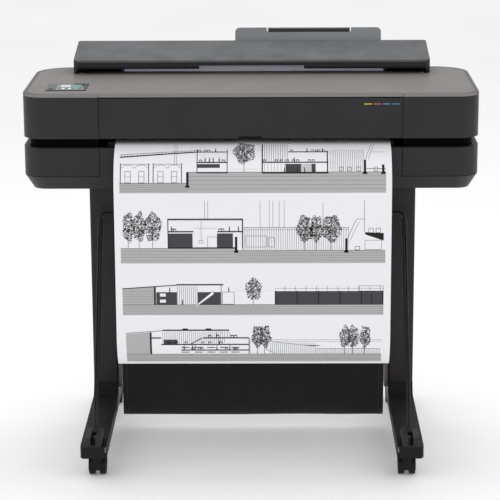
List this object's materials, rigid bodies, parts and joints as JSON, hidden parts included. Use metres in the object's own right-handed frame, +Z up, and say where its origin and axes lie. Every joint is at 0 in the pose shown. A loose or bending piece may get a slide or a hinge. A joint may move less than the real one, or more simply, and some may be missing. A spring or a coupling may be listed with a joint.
{
  "type": "large format plotter",
  "caption": "Wide roll-fed plotter on a castor stand: lidded body, hanging printed sheet, sliding carriage, roll cover, sheet tray and fabric media bin.",
  "frame": {"origin": "on the floor under the middle of the stand", "axes": "+X to the right across the body, +Y to the back, +Z up; the print hangs down the -Y side"},
  "size_m": [1.013, 0.605, 0.9569],
  "materials": {
    "stand_paint": "textured powder coat",
    "bracket_grey": "moulded, fine texture",
    "fork_plastic": "moulded, fine texture",
    "wire_black": "semi-gloss coat",
    "sleeve_black": "moulded",
    "screw_steel": "zinc plated",
    "hood_nylon": "moulded nylon",
    "wheel_nylon": "soft tread",
    "bin_cloth": "woven polyester",
    "casing_dark": "moulded, satin",
    "window_dark": "tinted, satin gloss",
    "lid_taupe": "satin metallic paint",
    "cover_grey": "moulded, satin",
    "trough_black": "moulded",
    "tray_grey": "moulded, satin",
    "paper_white": "uncoated",
    "spindle_dark": "moulded",
    "hub_blue": "moulded",
    "bare_steel": "ground",
    "gear_white": "acetal",
    "belt_rubber": "toothed belt",
    "motor_steel": "plated can",
    "carriage_black": "moulded",
    "head_grey": "moulded",
    "board_green": "solder mask",
    "inlet_black": "moulded",
    "panel_black": "gloss",
    "screen_glass": "lit display behind glass",
    "button_grey": "moulded",
    "ink_yellow": "moulded",
    "ink_magenta": "moulded",
    "ink_cyan": "moulded",
    "ink_black": "moulded"
  },
  "bodies": {
    "printer": {"base_shell": "casing_dark", "bin_back_bar": "wire_black", "bin_bar_brackets": "bracket_grey", "bin_fabric": "bin_cloth", "control_panel": "panel_black", "cross_brace": "stand_paint", "drive_belt": "belt_rubber", "drive_motors": "motor_steel", "electronics": "board_green", "front_end_covers": "casing_dark", "guide_rod": "bare_steel", "ink_bay": "trough_black", "left_foot": "stand_paint", "left_leg": "stand_paint", "lower_left_panel": "casing_dark", "platen": "trough_black", "power_inlet": "inlet_black", "printed_sheet": "paper_white", "right_foot": "stand_paint", "right_leg": "stand_paint", "rod_holders": "fork_plastic", "roll_cradles": "trough_black", "roll_trough": "trough_black", "service_station": "trough_black", "side_frames": "bare_steel", "stand_screws": "screw_steel", "top_panel": "lid_taupe", "touch_screen": "screen_glass", "upper_shell": "casing_dark"},
    "bin_front": {"bin_wires": "wire_black", "bin_sleeves": "sleeve_black", "bin_top_rod": "wire_black"},
    "window": {"front_window": "window_dark"},
    "ink_door": {"ink_door": "casing_dark"},
    "roll_cover": {"roll_cover": "cover_grey", "sheet_tray": "tray_grey"},
    "tray_extension": {"tray_extension": "tray_grey"},
    "roll": {"media_roll": "paper_white", "spindle_rod": "spindle_dark", "spindle_hubs": "hub_blue"},
    "carriage": {"carriage": "carriage_black", "printhead": "head_grey"},
    "drive_pulley": {"drive_pulley": "gear_white"},
    "idler_pulley": {"idler_pulley": "gear_white"},
    "feed_roller": {"feed_roller": "bare_steel"},
    "feed_pinion": {"feed_pinion": "gear_white"},
    "pinch_rollers": {"pinch_rollers": "bare_steel"},
    "power_button": {"power_button": "button_grey"},
    "castor_front_left": {"castor_hood_front_left": "hood_nylon"},
    "wheels_front_left": {"castor_wheels_front_left": "wheel_nylon"},
    "castor_front_right": {"castor_hood_front_right": "hood_nylon"},
    "wheels_front_right": {"castor_wheels_front_right": "wheel_nylon"},
    "castor_rear_left": {"castor_hood_rear_left": "hood_nylon"},
    "wheels_rear_left": {"castor_wheels_rear_left": "wheel_nylon"},
    "castor_rear_right": {"castor_hood_rear_right": "hood_nylon"},
    "wheels_rear_right": {"castor_wheels_rear_right": "wheel_nylon"},
    "cartridge_yellow": {"ink_cartridge_yellow": "ink_yellow"},
    "cartridge_magenta": {"ink_cartridge_magenta": "ink_magenta"},
    "cartridge_cyan": {"ink_cartridge_cyan": "ink_cyan"},
    "cartridge_black": {"ink_cartridge_black": "ink_black"}
  },
  "joints": [
    {"name": "swivel_front_left", "type": "hinge", "parent": "printer", "child": "castor_front_left", "pos_m": [-0.353, -0.27, 0.052], "axis": [0, 0, 1], "continuous": true},
    {"name": "wheel_spin_front_left", "type": "hinge", "parent": "castor_front_left", "child": "wheels_front_left", "pos_m": [-0.353, -0.256, 0.023], "axis": [1, 0, 0], "continuous": true},
    {"name": "swivel_front_right", "type": "hinge", "parent": "printer", "child": "castor_front_right", "pos_m": [0.353, -0.27, 0.052], "axis": [0, 0, 1], "continuous": true},
    {"name": "wheel_spin_front_right", "type": "hinge", "parent": "castor_front_right", "child": "wheels_front_right", "pos_m": [0.353, -0.256, 0.023], "axis": [1, 0, 0], "continuous": true},
    {"name": "swivel_rear_left", "type": "hinge", "parent": "printer", "child": "castor_rear_left", "pos_m": [-0.353, 0.27, 0.052], "axis": [0, 0, 1], "continuous": true},
    {"name": "wheel_spin_rear_left", "type": "hinge", "parent": "castor_rear_left", "child": "wheels_rear_left", "pos_m": [-0.353, 0.256, 0.023], "axis": [1, 0, 0], "continuous": true},
    {"name": "swivel_rear_right", "type": "hinge", "parent": "printer", "child": "castor_rear_right", "pos_m": [0.353, 0.27, 0.052], "axis": [0, 0, 1], "continuous": true},
    {"name": "wheel_spin_rear_right", "type": "hinge", "parent": "castor_rear_right", "child": "wheels_rear_right", "pos_m": [0.353, 0.256, 0.023], "axis": [1, 0, 0], "continuous": true},
    {"name": "bin_swing", "type": "hinge", "parent": "printer", "child": "bin_front", "pos_m": [0, -0.241, 0.095], "axis": [1, 0, 0], "range_deg": [0, 36], "deforming": ["bin_fabric"]},
    {"name": "window_lift", "type": "hinge", "parent": "printer", "child": "window", "pos_m": [0, -0.2265, 0.864], "axis": [-1, 0, 0], "range_deg": [0, 80]},
    {"name": "ink_door_drop", "type": "hinge", "parent": "printer", "child": "ink_door", "pos_m": [0.42, -0.228, 0.6917], "axis": [1, 0, 0], "range_deg": [0, 85]},
    {"name": "cover_lift", "type": "hinge", "parent": "printer", "child": "roll_cover", "pos_m": [0, 0.056, 0.889], "axis": [1, 0, 0], "range_deg": [0, 70]},
    {"name": "extension_slide", "type": "slide", "parent": "roll_cover", "child": "tray_extension", "axis": [0, 0.2079, 0.9781], "range_m": [0, 0.05]},
    {"name": "carriage_travel", "type": "slide", "parent": "printer", "child": "carriage", "axis": [1, 0, 0], "range_m": [-0.79, 0]},
    {"name": "drive_pulley_spin", "type": "hinge", "parent": "printer", "child": "drive_pulley", "pos_m": [-0.43, -0.075, 0.845], "axis": [0, 0, 1], "continuous": true},
    {"name": "idler_pulley_spin", "type": "hinge", "parent": "printer", "child": "idler_pulley", "pos_m": [0.43, -0.075, 0.845], "axis": [0, 0, 1], "continuous": true},
    {"name": "feed_spin", "type": "hinge", "parent": "printer", "child": "feed_roller", "pos_m": [0, 0.03, 0.7507], "axis": [1, 0, 0], "continuous": true},
    {"name": "feed_pinion_spin", "type": "hinge", "parent": "printer", "child": "feed_pinion", "pos_m": [-0.44, 0.051, 0.7507], "axis": [1, 0, 0], "continuous": true},
    {"name": "pinch_spin", "type": "hinge", "parent": "printer", "child": "pinch_rollers", "pos_m": [0, 0.03, 0.7708], "axis": [1, 0, 0], "continuous": true},
    {"name": "roll_spin", "type": "hinge", "parent": "printer", "child": "roll", "pos_m": [0, 0.143, 0.857], "axis": [1, 0, 0], "continuous": true},
    {"name": "release_yellow", "type": "slide", "parent": "printer", "child": "cartridge_yellow", "axis": [0, -1, 0], "range_m": [0, 0.015]},
    {"name": "release_magenta", "type": "slide", "parent": "printer", "child": "cartridge_magenta", "axis": [0, -1, 0], "range_m": [0, 0.015]},
    {"name": "release_cyan", "type": "slide", "parent": "printer", "child": "cartridge_cyan", "axis": [0, -1, 0], "range_m": [0, 0.015]},
    {"name": "release_black", "type": "slide", "parent": "printer", "child": "cartridge_black", "axis": [0, -1, 0], "range_m": [0, 0.015]},
    {"name": "power_press", "type": "slide", "parent": "printer", "child": "power_button", "axis": [0, 0, -1], "range_m": [0, 0.0012], "stiffness_N_per_m": 400, "springref_m": -0.0008}
  ],
  "couplings": [
    {"joint": "drive_pulley_spin", "follows": "carriage_travel", "rad_per_m": 108.11},
    {"joint": "idler_pulley_spin", "follows": "carriage_travel", "rad_per_m": 108.11},
    {"joint": "feed_pinion_spin", "follows": "feed_spin", "ratio": -2.5},
    {"joint": "pinch_spin", "follows": "feed_spin", "ratio": -1.7143},
    {"joint": "roll_spin", "follows": "feed_spin", "ratio": 0.27273}
  ]
}
